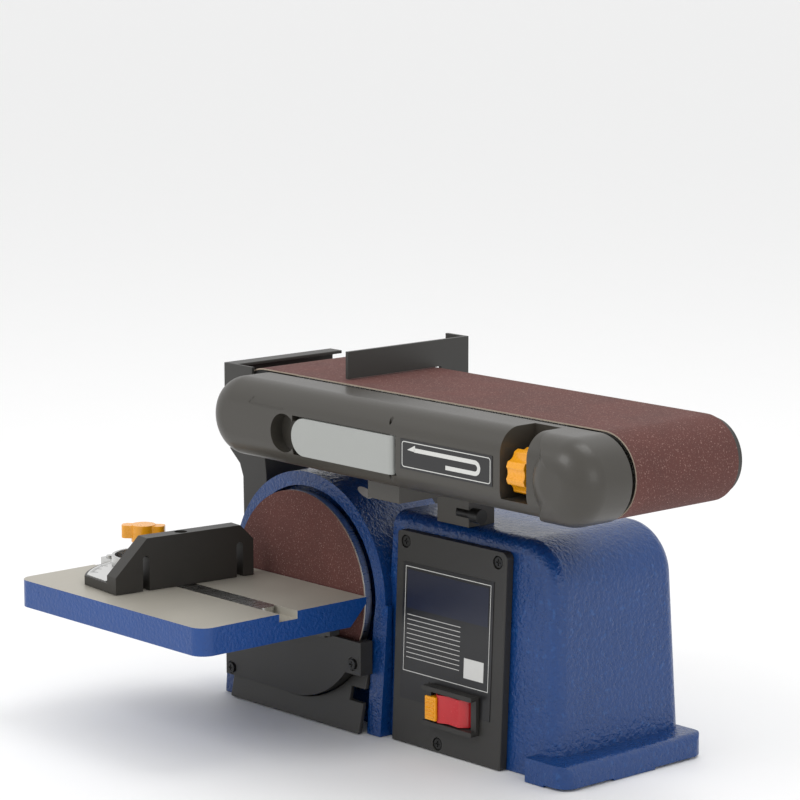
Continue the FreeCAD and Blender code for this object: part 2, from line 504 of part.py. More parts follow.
def belt_deck():
    """Swinging arm: casting, platen, drums, belt, guards, stop, lever and knob."""
    beam = stadium("arm_front", "arm_back - arm_front", "drum_x + 14", "idler_x", "deck_z", "arm_radius")
    beam = rounded(beam, ("arm_edge", lambda mid, way: near(mid.y, SIZES["arm_front"])), label="beam_round")
    dome = rounded(fuse(rod("y", "idler_x", "arm_front - 6", "deck_z - 1", "31", "arm_back - arm_front + 6"),
                        box("track_x + 18", "arm_front - 6", "deck_z - 32", "idler_x - track_x - 18",
                            "arm_back - arm_front + 6", "62")),
                   ("dome_edge", lambda mid, way: near(mid.y, SIZES["arm_front"] - 6)), label="dome")
    rail = box("-68", "-12", "225", "283", "8", "37")
    ribs = [box(x, "arm_back - 1", "225", "8", "-arm_back - 3", "43.9") for x in ("-68", "20", "110", "207")]
    ear = fuse(rod("y", "drum_x", "ear_front", "deck_z", "25", "ear_depth"),
               box("drum_x", "ear_front", "deck_z - 18", "58", "ear_depth", "36"),
               box("-68", "-12", "deck_z - 18", "20.5", "16", "36"))
    stop_boss = box("-42", "-12", "234", "36", "15", "18")
    tail_boss = box("tail_x - 7", "-12", "234", "14", "15.2", "18")
    solid = fuse(beam, dome, rail, *ribs, ear, stop_boss, tail_boss, label="arm_solid")
    lever_mid = "deck_z - 3.7"
    tools = [
        rod("y", "drum_x", "0", "deck_z", "hub_radius + run_gap", "20"),
        rod("y", "drum_x", "-116", "deck_z", "11", "30"),
        box("50", "-137", "230", "142", "40", "26"),
        box("232", "-137", "230", "idler_x - 216", "40", "26"),
        box("190", "-112.5", "236", "50", "10", "14"),
        box("lever_x - lever_length - 0.6", "arm_front - 2", f"{lever_mid} - lever_height / 2 - 0.6",
            "lever_length + 7.5", "8.8", "lever_height + 1.2"),
        rod("y", "lever_x - lever_length - 11", "arm_front - 2", lever_mid, "14.5", "13"),
        box("lever_x - 15", "-143", f"{lever_mid} - 8", "23", "14", "16"),
        box("track_x - 14", "arm_front - 10", "deck_z - 19", "26", "43.5", "70"),
        rod("x", "track_x - 40", "track_y", "deck_z", "3.25", "60"),
        rod("z", "lever_x", "arm_front + 2.5", "deck_z - 40", "1.55", "80"),
        *[rod("y", x, "-4", "243", "2.2", "10") for x in ("-36", "-30")],
        *[rod("y", "tail_x", "-4", z, "2.2", "10") for z in ("239", "247")],
    ]
    keep(cut(solid, *tools), "arm_casting")
    keep(box("-70", "-99", "deck_z + belt_radius - 0.3 - platen_gauge", "288", "97", "platen_gauge"), "platen")
    loop = cut(stadium("belt_front", "belt_width", "drum_x", "idler_x", "deck_z", "belt_radius + belt_gauge"),
               stadium("belt_front - 1", "belt_width + 2", "drum_x", "idler_x", "deck_z", "belt_radius"))
    keep(loop, "sanding_belt")
    keep(fuse(rod("y", "drum_x", "belt_front + 0.3", "deck_z", "belt_radius - drum_gap", "belt_width - 0.9"),
              rod("y", "drum_x", "-114.5", "deck_z", "drum_shaft_radius", "155")), "drive_drum")
    keep(ring("y", "drum_x", "-115.5", "deck_z", "11", "drum_shaft_radius + run_gap", "9"), "drum_front_bearing")
    tube = fuse(ring("y", "idler_x", "belt_front + 0.3", "deck_z", "belt_radius - drum_gap", "25",
                     "belt_width - 0.9"),
                *[ring("y", "idler_x", y, "deck_z", "26", "13", "10") for y in ("belt_front + 0.3", "-10.6")])
    keep(tube, "idler_drum")
    keep(group(*[ring("y", "idler_x", y, "deck_z", "13", "axle_radius + run_gap", "9")
                 for y in ("belt_front + 0.5", "-10")]), "idler_bearings")
    slide = fuse(box("idler_x - 13", "-136", "231", "26", "29", "24"),
                 box("lever_x + 5", "-111.5", "238", "idler_x - lever_x - 10", "4.5", "10"),
                 box("lever_x + 5", "-134", "238", "6", "27", "10"),
                 rod("y", "idler_x", "-108", "deck_z", "axle_radius", "107.5"))
    keep(slide, "idler_carriage")
    lever_plate = fuse(
        rod("y", "lever_x - lever_length + lever_height / 2", "arm_front - 1.5", lever_mid, "lever_height / 2",
            "lever_gauge"),
        box("lever_x - lever_length + lever_height / 2", "arm_front - 1.5", f"{lever_mid} - lever_height / 2",
            "lever_length - lever_height / 2", "lever_gauge", "lever_height"),
        rod("z", "lever_x", "arm_front + 2.5", f"{lever_mid} - lever_height / 2", "4", "lever_height"),
        box("lever_x - 4", "arm_front + 2.5", f"{lever_mid} - 6", "8", "13", "12"))
    keep(cut(lever_plate, rod("z", "lever_x", "arm_front + 2.5", "200", "1.55", "80")), "tension_lever")
    keep(rod("z", "lever_x", "arm_front + 2.5", "deck_z - 26", "1.5", "46"), "lever_pin")
    scallops = [rod("x", "track_x - 20", f"track_y + 20 * cos({angle})", f"deck_z + 20 * sin({angle})", "6", "40")
                for angle in range(0, 360, 45)]
    keep(cut(rod("x", "track_x - 9", "track_y", "deck_z", "track_radius", "17"),
             rod("x", "track_x - 10", "track_y", "deck_z", "3.2", "30"), *scallops), "tracking_knob")
    keep(rod("x", "track_x - 26", "track_y", "deck_z", "3.2", "43"), "tracking_screw")
    keep(box("99", "arm_front - 0.4", "deck_z - 11.5", "94", "0.4", "21.5"), "direction_plate")
    blade = prism("YZ", [("-91", "275"), ("3", "275"), ("3", "236"), ("18", "236"), ("31.5", "262"),
                         ("31.5", "295.5"), ("-91", "295.5")], "stop_x - stop_gauge", "stop_gauge", label="blade")
    stop = fuse(blade, box("stop_x - 23", "3", "236", "23", "3.2", "16"),
                box("stop_x - 23", "28.5", "274", "23", "3", "21.5"))
    keep(cut(stop, *[rod("y", x, "0", "243", "2.2", "10") for x in ("-36", "-30")]), "work_stop")
    guard = fuse(box("-149", "arm_back", "219", "3", "108", "55.5"), box("-149", "arm_back", "219", "34", "2.5", "55.5"),
                 box("-149", "arm_back", "272", "14", "108", "2.5"))
    keep(guard, "belt_end_guard")
    tail = fuse(rod("y", "idler_x", "3.2", "deck_z", "28", "4"),
                box("tail_x - 10", "3.2", "deck_z - 14", "idler_x - tail_x + 10", "4", "28"))
    keep(cut(tail, *[rod("y", "tail_x", "0", z, "2.2", "20") for z in ("239", "247")]), "idler_end_guard")
    deck_spots = [(x, "6.2", "243") for x in ("-36", "-30")] + [("tail_x", "7.2", z) for z in ("239", "247")]
    keep(group(*[fuse(rod("y", x, seat, z, "2.9", "2.5"), rod("y", x, f"{seat} - 10", z, "2", "10"))
                 for x, seat, z in deck_spots]), "deck_screws")
    rest = fuse(box("39.5", "-55.5", "base_height", "34", "26", "36"),
                box("39.5", "-124", "199", "34", "84", "11"), box("39.5", "-124", "205", "34", "17", "8"))
    keep(cut(rest, rod("x", "60", "-55", "182", "3", "30")), "arm_rest")
    keep(fuse(rod("x", "62", "-55", "182", "2.95", "18"), rod("x", "78", "-55", "182", "5.5", "9")), "arm_lock_bolt")


def wedge(first, last):
    """A slab about the hinge pin, between two angles in degrees below the level, on the front side."""
    reach = 70
    corners = [(f"pin_y - {reach} * cos({angle})", f"pin_z - {reach} * sin({angle})")
               for angle in (first, (first + last) / 2, last)]
    return prism("YZ", [("pin_y", "pin_z"), *corners], "-190", "10", label="wedge")


def work_table():
    """Tilting table with its slot, hinge pin, bracket and lock knob."""
    under = "table_top - skirt_height"
    slab = box("table_left", "table_front", under, "table_width", "table_depth", "skirt_height", "table_slab")
    slab = rounded(slab, ("corner_radius", lambda mid, way: abs(way.z) > 0.9 and mid.y < -200))
    back = "table_front + table_depth"
    bevel = prism("YZ", [(f"{back} + 1", f"{under} - 1"), (f"{back} - 17", f"{under} - 1"),
                         (f"{back} + 1", f"{under} + 17")], "table_left - 1", "table_width + 2", label="bevel")
    hollow = box("table_left + 7", "table_front + 7", f"{under} - 1", "table_width - 14",
                 "table_depth", "skirt_height - table_gauge + 1")
    slot = box("table_left - 1", "slot_y - slot_width / 2", "table_top - slot_depth", "table_width + 2",
               "slot_width", "slot_depth + 1")
    slot_floor = box("table_left", "slot_y - slot_width / 2 - 5", "table_top - slot_depth - 6", "table_width",
                     "slot_width + 10", "6")
    lugs = [fuse(rod("x", x, "pin_y", "pin_z", "8", "8"), box(x, "pin_y - 8", "pin_z", "8", "16", "10"))
            for x in ("-161", "-56")]
    quadrant = cut(common(ring("x", "-188", "pin_y", "pin_z", "stud_reach + 10", "stud_reach - 10", "5"),
                          wedge(3, 73)),
                   common(ring("x", "-189", "pin_y", "pin_z", "stud_reach + 3.5", "stud_reach - 3.5", "8"),
                          wedge(7, 69)), label="quadrant")
    ear = box("-188", "pin_y - stud_reach - 10", "pin_z - 3", "5", "20", "12")
    frame = fuse(cut(slab, hollow), slot_floor, label="table_frame")
    table = cut(fuse(cut(frame, bevel, slot), *lugs, quadrant, ear),
                rod("x", "-200", "pin_y", "pin_z", "pin_radius + run_gap", "170"), label="table")
    keep(table, "work_table")
    keep(rod("x", "-178", "pin_y", "pin_z", "pin_radius", "132"), "table_hinge_pin")
    arm = fuse(box("-182.7", "-95.5", "74", "139.7", "10", "8"),
               *[fuse(box(x, "-95.5", "76", "8", "10", "16"), rod("x", x, "pin_y", "pin_z", "7", "8"))
                 for x in ("-178", "-150", "-67", "-45")],
               box("-182.7", "-95.5", "50", "2.7", "26.9", "32"), box("-182.7", "-111", "58", "8.7", "18", "20"))
    keep(cut(arm, rod("x", "-200", "pin_y", "pin_z", "pin_radius", "170"),
             rod("x", "-190", *STUD, "stud_radius + run_gap", "20")), "table_bracket")


def miter_gauge():
    """Miter gauge: bar with its pointer, protractor head with the fence, scale, collar and knob."""
    floor = "table_top - slot_depth"
    pivot, lock = ("gauge_x", "slot_y"), ("gauge_x - lock_reach", "slot_y")
    bar = rounded(box("gauge_x - 98", "slot_y - slot_width / 2 + bar_gap", f"{floor} + 0.2", "203",
                      "slot_width - 2 * bar_gap", "slot_depth - 0.2", "bar"),
                  ("plate_corner", lambda mid, way: abs(way.z) > 0.9 and mid.x > -60))
    post = rod("z", *pivot, "table_top - 1", "4", "8")
    keep(cut(fuse(bar, post), rod("z", *lock, f"{floor} + 1", "3", "30")), "miter_bar")
    pointer = prism("XY", [("gauge_x - 75.5", "slot_y"), ("gauge_x - 82", "slot_y - 4.5"),
                           ("gauge_x - 97", "slot_y - 4.5"), ("gauge_x - 97", "slot_y + 4.5"),
                           ("gauge_x - 82", "slot_y + 4.5")], "table_top", "6", label="pointer")
    keep(fuse(pointer, rod("z", "gauge_x - 91", "slot_y", "table_top + 6", "3", "1.8")), "miter_pointer")
    low, high, half = "table_top + 0.4", "table_top + 41", "fence_length / 2"
    fence = prism("YZ", [(f"slot_y - {half}", low), (f"slot_y + {half}", low), (f"slot_y + {half}", f"{high} - 12"),
                         (f"slot_y + {half} - 12", high), (f"slot_y - {half} + 28", high),
                         (f"slot_y - {half}", "table_top + 13.5")],
                  "gauge_x - fence_gauge / 2", "fence_gauge", label="fence")
    slots = [fuse(box("gauge_x - 10", f"slot_y {offset} - 3", "table_top - 1", "20", "6", "25.5"),
                  rod("x", "gauge_x - 10", f"slot_y {offset}", "table_top + 24.5", "3", "20"))
             for offset in ("- 35", "+ 49.5")]
    plate = common(rod("z", *pivot, low, "head_radius", "7"),
                   box("gauge_x - head_radius", f"slot_y - {half}", "table_top", "head_radius + 3", "fence_length",
                       "20"))
    sweep = common(ring("z", *pivot, "table_top", "lock_reach + 4", "lock_reach - 4", "20"),
                   prism("XY", [pivot, ("gauge_x - 60 * cos(58)", "slot_y + 60 * sin(58)"),
                                ("gauge_x - 90", "slot_y + 60 * sin(58)"), ("gauge_x - 90", "slot_y - 60 * sin(58)"),
                                ("gauge_x - 60 * cos(58)", "slot_y - 60 * sin(58)")], "table_top - 5", "30"))
    head = cut(fuse(fence, plate), *slots, sweep, rod("z", *pivot, "table_top", "4.05", "9"),
               rod("z", *pivot, f"{high} - 14", "5", "20"))
    axis_point = (SIZES["gauge_x"], SIZES["slot_y"], 0)
    keep(turned(axis_point, (0, 0, 1), -SIZES["head_turn"], head), "miter_head")
    scale = cut(common(ring("z", *pivot, "table_top + 7.4", "head_radius - 2", "lock_reach + 6", "0.6"),
                       box("gauge_x - head_radius", f"slot_y - {half} + 2", "table_top", "head_radius - 12",
                           "fence_length - 4", "20")), rod("z", *pivot, "table_top", "10", "20"))
    keep(turned(axis_point, (0, 0, 1), -SIZES["head_turn"], scale), "miter_scale")
    collar = cut(rod("z", *lock, "table_top + 8.2", "25", "8"), rod("z", *lock, "table_top + 9.7", "22.5", "8"),
                 rod("z", *lock, "table_top", "3.05", "20"))
    keep(collar, "miter_collar")
    wing = box("gauge_x - lock_reach - 17", "slot_y - 5.5", "table_top + 29", "34", "11", "10", "wing")
    wing = turned((SIZES["gauge_x"] - SIZES["lock_reach"], SIZES["slot_y"], 0), (0, 0, 1), 40,
                  rounded(wing, ("knob_edge", lambda mid, way: abs(way.z) > 0.9)))
    keep(fuse(wing, rod("z", *lock, "table_top + 9.9", "7.2", "20"), rod("z", *lock, "table_top + 26", "9.5", "13.5"),
              rod("z", *lock, f"{floor} + 2", "2.9", "22")), "miter_knob")


def table_lock():
    """Lock knob of the table tilt, on its stud through the quadrant."""
    keep(fuse(rod("x", "-205", *STUD, "lock_radius", "12"), rod("x", "-193.5", *STUD, "7", "5"),
              rod("x", "-190", *STUD, "stud_radius", "18")), "table_lock_knob")


def write_parts():
    """Check every object and write one STEP file for each node."""
    DOC.recompute()
    failed = [obj.Label for obj in DOC.Objects if {"Invalid", "Error"} & set(obj.State)]
    if failed:
        raise RuntimeError(f"these objects failed: {failed}")
    os.makedirs("parts", exist_ok=True)
    for obj in PARTS:
        if obj.Shape.isNull() or not obj.Shape.isValid() or not obj.Shape.Solids:
            raise RuntimeError(f"{obj.Label} has no valid solid")
        box_ = obj.Shape.BoundBox
        print(f"{obj.Label:22s} solids {len(obj.Shape.Solids):2d}  volume {obj.Shape.Volume / 1000:8.1f} cm3  "
              f"x {box_.XMin:7.1f} {box_.XMax:7.1f}  y {box_.YMin:7.1f} {box_.YMax:7.1f}  "
              f"z {box_.ZMin:7.1f} {box_.ZMax:7.1f}")
        obj.Shape.exportStep(f"parts/{obj.Label}.step")


write_sheet()
base_casting()
switch_panel()
disc_end()
motor()
drive()
belt_deck()
work_table()
miter_gauge()
table_lock()
write_parts()
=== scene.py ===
"""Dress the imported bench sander: finishes, softened edges, printed plates and studio."""

from __future__ import annotations

import json
import logging
import math
from dataclasses import dataclass, field
from enum import Enum

import bmesh
import bpy
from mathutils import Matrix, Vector
from mathutils.bvhtree import BVHTree

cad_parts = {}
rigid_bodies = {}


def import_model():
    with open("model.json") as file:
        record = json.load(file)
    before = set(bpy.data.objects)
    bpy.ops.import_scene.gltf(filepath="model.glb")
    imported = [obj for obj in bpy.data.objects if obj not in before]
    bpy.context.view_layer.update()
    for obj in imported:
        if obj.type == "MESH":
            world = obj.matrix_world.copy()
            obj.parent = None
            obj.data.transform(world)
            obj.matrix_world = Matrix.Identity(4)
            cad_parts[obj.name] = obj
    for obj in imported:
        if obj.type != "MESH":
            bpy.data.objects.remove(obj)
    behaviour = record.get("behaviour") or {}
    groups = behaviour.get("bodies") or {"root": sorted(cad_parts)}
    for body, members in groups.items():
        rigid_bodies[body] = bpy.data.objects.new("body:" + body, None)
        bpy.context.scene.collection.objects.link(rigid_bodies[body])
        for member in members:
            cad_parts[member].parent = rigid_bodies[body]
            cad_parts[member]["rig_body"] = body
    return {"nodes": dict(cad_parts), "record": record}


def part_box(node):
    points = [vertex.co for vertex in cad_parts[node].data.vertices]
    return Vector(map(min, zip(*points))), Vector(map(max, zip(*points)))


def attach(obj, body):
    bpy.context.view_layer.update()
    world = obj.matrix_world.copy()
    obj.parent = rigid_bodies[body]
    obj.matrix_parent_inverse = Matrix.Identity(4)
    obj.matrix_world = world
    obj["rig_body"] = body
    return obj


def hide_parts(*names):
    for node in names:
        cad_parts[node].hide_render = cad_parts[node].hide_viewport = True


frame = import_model()

LOG = logging.getLogger("sander")
MM = 0.001
Colour = tuple[float, float, float]
Point2 = tuple[float, float]


class Texture(Enum):
    """How the surface of a finish is worked."""

    PEBBLED = "pebbled paint"
    SATIN = "satin paint"
    GRIT = "coated grit"
    BRUSHED = "brushed metal"
    MOULDED = "moulded plastic"
    PRINTED = "printed film"


@dataclass(frozen=True)
class Finish:
    """One finish: its colour, gloss and grain.

    Args:
        colour: Linear base colour.
        texture: How the surface is worked.
        roughness: Mean roughness.
        metallic: 1 for bare metal.
        coat: Weight of a clear coat.
        grain: Size of the fine pattern, in metres.
        depth: Height of the fine pattern, in metres.
        contrast: Spread of the colour, as a share of it.
        speck_and_glint_colour: Colour of scattered speckles; on the abrasive the grit's own pale grains,
            on the blue casting painted highlights that stand in for glints of light.
        speck_and_glint_strength: How strongly the speckles show.
    """

    colour: Colour
    texture: Texture
    roughness: float
    metallic: float = 0.0
    coat: float = 0.0
    grain: float = 0.0016
    depth: float = 0.0001
    contrast: float = 0.12
    speck_and_glint_colour: Colour = (0.8, 0.75, 0.7)
    speck_and_glint_strength: float = 0.0


FINISHES: dict[str, Finish] = {
    # The casting's lighter blue speckles are painted highlights: glints of light on the pebbled paint, drawn
    # as colour.
    "blue_casting": Finish((0.002, 0.038, 0.165), Texture.PEBBLED, 0.3, coat=0.05, grain=0.0034, depth=0.0016,
                           contrast=0.25, speck_and_glint_colour=(0.02, 0.11, 0.34), speck_and_glint_strength=0.35),
    "table_iron": Finish((0.001, 0.048, 0.22), Texture.PEBBLED, 0.32, coat=0.05, grain=0.0028, depth=0.0009,
                         contrast=0.15),
    "machined_top": Finish((0.42, 0.395, 0.34), Texture.BRUSHED, 0.45, metallic=0.3,
                           grain=0.0012, depth=0.00003,
                           contrast=0.1),
    "arm_paint": Finish((0.04, 0.036, 0.029), Texture.SATIN, 0.4, coat=0.1, grain=0.0011, depth=0.00007,
                        contrast=0.14),
    "black_plastic": Finish((0.024, 0.023, 0.021), Texture.MOULDED, 0.5,
                            grain=0.0008, depth=0.00005, contrast=0.2),
    "black_steel": Finish((0.022, 0.022, 0.022), Texture.SATIN, 0.38, metallic=0.5,
                          grain=0.0012, depth=0.00004),
    "black_sheet": Finish((0.03, 0.029, 0.026), Texture.SATIN, 0.46,
                          grain=0.0012, depth=0.00005, contrast=0.16),
    "label": Finish((0.009, 0.009, 0.01), Texture.PRINTED, 0.34, grain=0.003, depth=0.00001, contrast=0.1),
    "red_plastic": Finish((0.5, 0.014, 0.02), Texture.MOULDED, 0.24, coat=0.3, grain=0.002, depth=0.00003),
    "yellow_plastic": Finish((0.8, 0.33, 0.004), Texture.MOULDED, 0.28, coat=0.25,
                             grain=0.0022, depth=0.00004,
                             contrast=0.08),
    "abrasive": Finish((0.1, 0.033, 0.027), Texture.GRIT, 0.85, grain=0.0009, depth=0.00035, contrast=0.55,
                       speck_and_glint_colour=(0.42, 0.27, 0.23), speck_and_glint_strength=0.55),
    "paper_edge": Finish((0.45, 0.37, 0.29), Texture.MOULDED, 0.8, grain=0.0008, depth=0.00008),
    "aluminium": Finish((0.6, 0.6, 0.59), Texture.BRUSHED, 0.3, metallic=1.0, grain=0.0009, depth=0.00003),
    "zinc_steel": Finish((0.55, 0.55, 0.54), Texture.BRUSHED, 0.27, metallic=1.0,
                         grain=0.0009, depth=0.00002),
    "shaft_steel": Finish((0.42, 0.42, 0.42), Texture.BRUSHED, 0.25, metallic=1.0,
                          grain=0.0008, depth=0.00002),
    "copper": Finish((0.5, 0.16, 0.05), Texture.BRUSHED, 0.35, metallic=1.0, grain=0.0011, depth=0.0002),
    "belt_rubber": Finish((0.016, 0.016, 0.016), Texture.MOULDED, 0.7, grain=0.0009, depth=0.00008),
    "drum_rubber": Finish((0.02, 0.02, 0.02), Texture.MOULDED, 0.75, grain=0.0012, depth=0.00012),
    "lever_grey": Finish((0.33, 0.34, 0.325), Texture.SATIN, 0.36, coat=0.15, grain=0.0014, depth=0.00004,
                         contrast=0.06),
    "gauge_black": Finish((0.02, 0.018, 0.015), Texture.SATIN, 0.44,
                          grain=0.0013, depth=0.0001, contrast=0.18),
    "scale_silver": Finish((0.66, 0.66, 0.65), Texture.BRUSHED, 0.32, metallic=0.9,
                           grain=0.0008, depth=0.00002),
    "print_white": Finish((0.6, 0.6, 0.58), Texture.PRINTED, 0.45, grain=0.002, depth=0.00001, contrast=0.05),
    "print_navy": Finish((0.006, 0.009, 0.026), Texture.PRINTED, 0.35, grain=0.002, depth=0.00001),
    "print_black": Finish((0.012, 0.012, 0.012), Texture.PRINTED, 0.4, grain=0.002, depth=0.00001),
}


MOTTLE = 0.045
# Threshold and sharpness of the scattered speckles: grit grains on the abrasive, painted highlights on the
# blue casting.
SPECK_AND_GLINT_LEVEL = 0.6
SPECK_AND_GLINT_EDGE = 6.0
ROUGH_FINE = 0.16
ROUGH_BROAD = 0.1


class Value:
    """A node socket that takes part in arithmetic."""

    def __init__(self, graph: Graph, socket: bpy.types.NodeSocket) -> None:
        """Wrap a socket of a graph."""
        self.graph = graph
        self.socket = socket

    def _math(self, operation: str, other: Value | float, flipped: bool = False) -> Value:
        """Add one Math node.

        Args:
            operation: The Math node's operation.
            other: The second term.
            flipped: Whether the other term comes first.

        Returns:
            The result.
        """
        pair = (other, self) if flipped else (self, other)
        node = self.graph.node("ShaderNodeMath", {"operation": operation}, {0: pair[0], 1: pair[1]})
        return Value(self.graph, node.outputs[0])

    def __add__(self, other: Value | float) -> Value:
        """Sum."""
        return self._math("ADD", other)

    def __radd__(self, other: float) -> Value:
        """Sum with the number first."""
        return self._math("ADD", other)

    def __sub__(self, other: Value | float) -> Value:
        """Difference."""
        return self._math("SUBTRACT", other)

    def __rsub__(self, other: float) -> Value:
        """Difference with the number first."""
        return self._math("SUBTRACT", other, flipped=True)

    def __mul__(self, other: Value | float) -> Value:
        """Product."""
        return self._math("MULTIPLY", other)

    def __rmul__(self, other: float) -> Value:
        """Product with the number first."""
        return self._math("MULTIPLY", other)

    def clamped(self) -> Value:
        """Keep the value between 0 and 1."""
        return self._math("MAXIMUM", 0.0)._math("MINIMUM", 1.0)

    def cosine(self) -> Value:
        """Cosine."""
        return self._math("COSINE", 0.0)

    def sine(self) -> Value:
        """Sine."""
        return self._math("SINE", 0.0)


class Graph:
    """A node tree that is filled by one method."""

    def __init__(self, tree: bpy.types.NodeTree) -> None:
        """Empty the tree and keep it."""
        self.tree = tree
        tree.nodes.clear()

    def node(self, kind: str, settings: dict | None = None, inputs: dict | None = None) -> bpy.types.Node:
        """Add a node.

        Args:
            kind: The node's type.
            settings: Its settings, which are set first.
            inputs: Values, or links from other nodes, by the socket's name or number.

        Returns:
            The node.
        """
        made = self.tree.nodes.new(kind)
        for name, value in (settings or {}).items():
            setattr(made, name, value)
        for key, value in (inputs or {}).items():
            source = value.socket if isinstance(value, Value) else value
            if isinstance(source, bpy.types.NodeSocket):
                self.tree.links.new(source, made.inputs[key])
            else:
                made.inputs[key].default_value = source
        return made

    def value(self, kind: str, output: str | int, settings: dict | None = None,
              inputs: dict | None = None) -> Value:
        """Add a node and take one of its outputs as a value.

        Args:
            kind: The node's type.
            output: The output's name or number.
            settings: The node's settings.
            inputs: Values or links for its sockets.

        Returns:
            The output.
        """
        return Value(self, self.node(kind, settings, inputs).outputs[output])


STRETCH: dict[Texture, tuple[float, float, float]] = {Texture.BRUSHED: (1.0, 0.04, 1.0)}


class Paint:
    """Makes one procedural material from a finish."""

    def __init__(self, name: str, finish: Finish) -> None:
        """Build the material.

        Args:
            name: The material's name.
            finish: What it looks like.
        """
        self.material = bpy.data.materials.new(name)
        self.material.use_nodes = True
        self.graph = Graph(self.material.node_tree)
        self.finish = finish
        self._build()

    def _noise(self, place: bpy.types.NodeSocket, size: float, detail: float) -> Value:
        """A noise pattern with features of a size."""
        return self.graph.value("ShaderNodeTexNoise", "Fac", None,
                                {"Vector": place, "Scale": 1.0 / size, "Detail": detail, "Roughness": 0.6})

    def _blend(self, factor: Value, first: object, second: object) -> bpy.types.NodeSocket:
        """Mix two colours."""
        node = self.graph.node("ShaderNodeMix", {"data_type": "RGBA"}, {0: factor, 6: first, 7: second})
        return node.outputs[2]

    def _build(self) -> None:
        """Lay colour, roughness and relief from noise on object coordinates."""
        finish, graph = self.finish, self.graph
        spot = graph.node("ShaderNodeTexCoord").outputs["Object"]
        scale = STRETCH.get(finish.texture, (1.0, 1.0, 1.0))
        place = graph.node("ShaderNodeMapping", None, {"Vector": spot, "Scale": scale}).outputs[0]
        broad = self._noise(spot, MOTTLE, 3.0)
        fine = self._noise(place, finish.grain, 2.0)
        dark = tuple(part * (1 - finish.contrast) for part in finish.colour) + (1.0,)
        light = tuple(min(part * (1 + finish.contrast), 1.0) for part in finish.colour) + (1.0,)
        colour = self._blend((broad * 0.6 + fine * 0.4), dark, light)
        # Scattered lighter speckles: the grit's own grains on the abrasive, and painted highlights that stand
        # in for glints of light on the blue casting.
        if finish.speck_and_glint_strength:
            speck_and_glint_noise = self._noise(place, finish.grain * 1.3, 1.0)
            speck_and_glint_mask = ((speck_and_glint_noise - SPECK_AND_GLINT_LEVEL) * SPECK_AND_GLINT_EDGE).clamped() * finish.speck_and_glint_strength
            colour = self._blend(speck_and_glint_mask, colour, finish.speck_and_glint_colour + (1.0,))
        rough = (finish.roughness + (fine - 0.5) * ROUGH_FINE + (broad - 0.5) * ROUGH_BROAD).clamped()
        bump = graph.node("ShaderNodeBump", None, {"Strength": 0.7, "Distance": finish.depth, "Height": fine})
        surface = graph.node("ShaderNodeBsdfPrincipled", None, {
            "Base Color": colour, "Roughness": rough, "Metallic": finish.metallic,
            "Coat Weight": finish.coat, "Coat Roughness": 0.12, "Normal": bump.outputs[0]})
        graph.node("ShaderNodeOutputMaterial", None, {"Surface": surface.outputs[0]})


class PaintShop:
    """Keeps one material for each finish."""

    def __init__(self) -> None:
        """Start with no materials made."""
        self.made: dict[str, bpy.types.Material] = {}

    def get(self, name: str) -> bpy.types.Material:
        """The material of a finish, made once."""
        if name not in self.made:
            self.made[name] = Paint(name, FINISHES[name]).material
        return self.made[name]


SHOP = PaintShop()
SLOTS: dict[str, str] = {part["node"]: part["material_slot"] for part in frame["record"]["subparts"]}


def plain_mesh(obj: bpy.types.Object, name: str) -> bpy.types.Mesh:
    """Evaluate an object's modifiers into a plain mesh.

    Args:
        obj: The object, with its modifiers.
        name: The mesh's name.

    Returns:
        The mesh.
    """
    graph = bpy.context.evaluated_depsgraph_get()
    mesh = bpy.data.meshes.new_from_object(obj.evaluated_get(graph), depsgraph=graph)
    mesh.name = name
    return mesh


def add_piece(name: str, mesh: bpy.types.Mesh, body: str) -> bpy.types.Object:
    """Put a finished mesh in the scene, riding on a body.

    Args:
        name: The piece's name.
        mesh: Its mesh, in place.
        body: The body it rides on.

    Returns:
        The object.
    """
    obj = bpy.data.objects.new(name, mesh)
    bpy.context.scene.collection.objects.link(obj)
    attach(obj, body)
    LOG.info("%s rides on %s with %d faces", name, body, len(mesh.polygons))
    return obj


def skin(node: str, edge: float, segments: int = 2) -> bpy.types.Object:
    """Replace a hard node by a copy of it with softened edges.

    Args:
        node: The node.
        edge: Width of the softened edges, in millimetres; 0 only smooths the shading.
        segments: Steps across each softened edge.

    Returns:
        The new piece.
    """
    source = frame["nodes"][node]
    mesh = source.data.copy()
    work = bmesh.new()
    work.from_mesh(mesh)
    bmesh.ops.remove_doubles(work, verts=work.verts, dist=2e-6)
    if edge:
        bmesh.ops.dissolve_limit(work, angle_limit=math.radians(0.5), verts=work.verts, edges=work.edges)
    for face in work.faces:
        face.smooth = True
    work.to_mesh(mesh)
    work.free()
    if mesh.has_custom_normals:
        mesh.attributes.remove(mesh.attributes["custom_normal"])
    mesh.set_sharp_from_angle(angle=math.radians(32))
    rough = bpy.data.objects.new(node + "_work", mesh)
    bpy.context.scene.collection.objects.link(rough)
    if edge:
        bevel = rough.modifiers.new("edges", "BEVEL")
        bevel.width = edge * MM
        bevel.segments = segments
        bevel.limit_method = "ANGLE"
        bevel.angle_limit = math.radians(32)
        bevel.use_clamp_overlap = True
        bevel.miter_outer = "MITER_ARC"
    weighted = rough.modifiers.new("normals", "WEIGHTED_NORMAL")
    weighted.keep_sharp = not edge
    finished = plain_mesh(rough, node + "_skin")
    bpy.data.objects.remove(rough)
    slot = SLOTS[node]
    finished.materials.clear()
    finished.materials.append(SHOP.get(slot))
    obj = add_piece(node + "_skin", finished, source["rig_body"])
    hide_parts(node)
    return obj


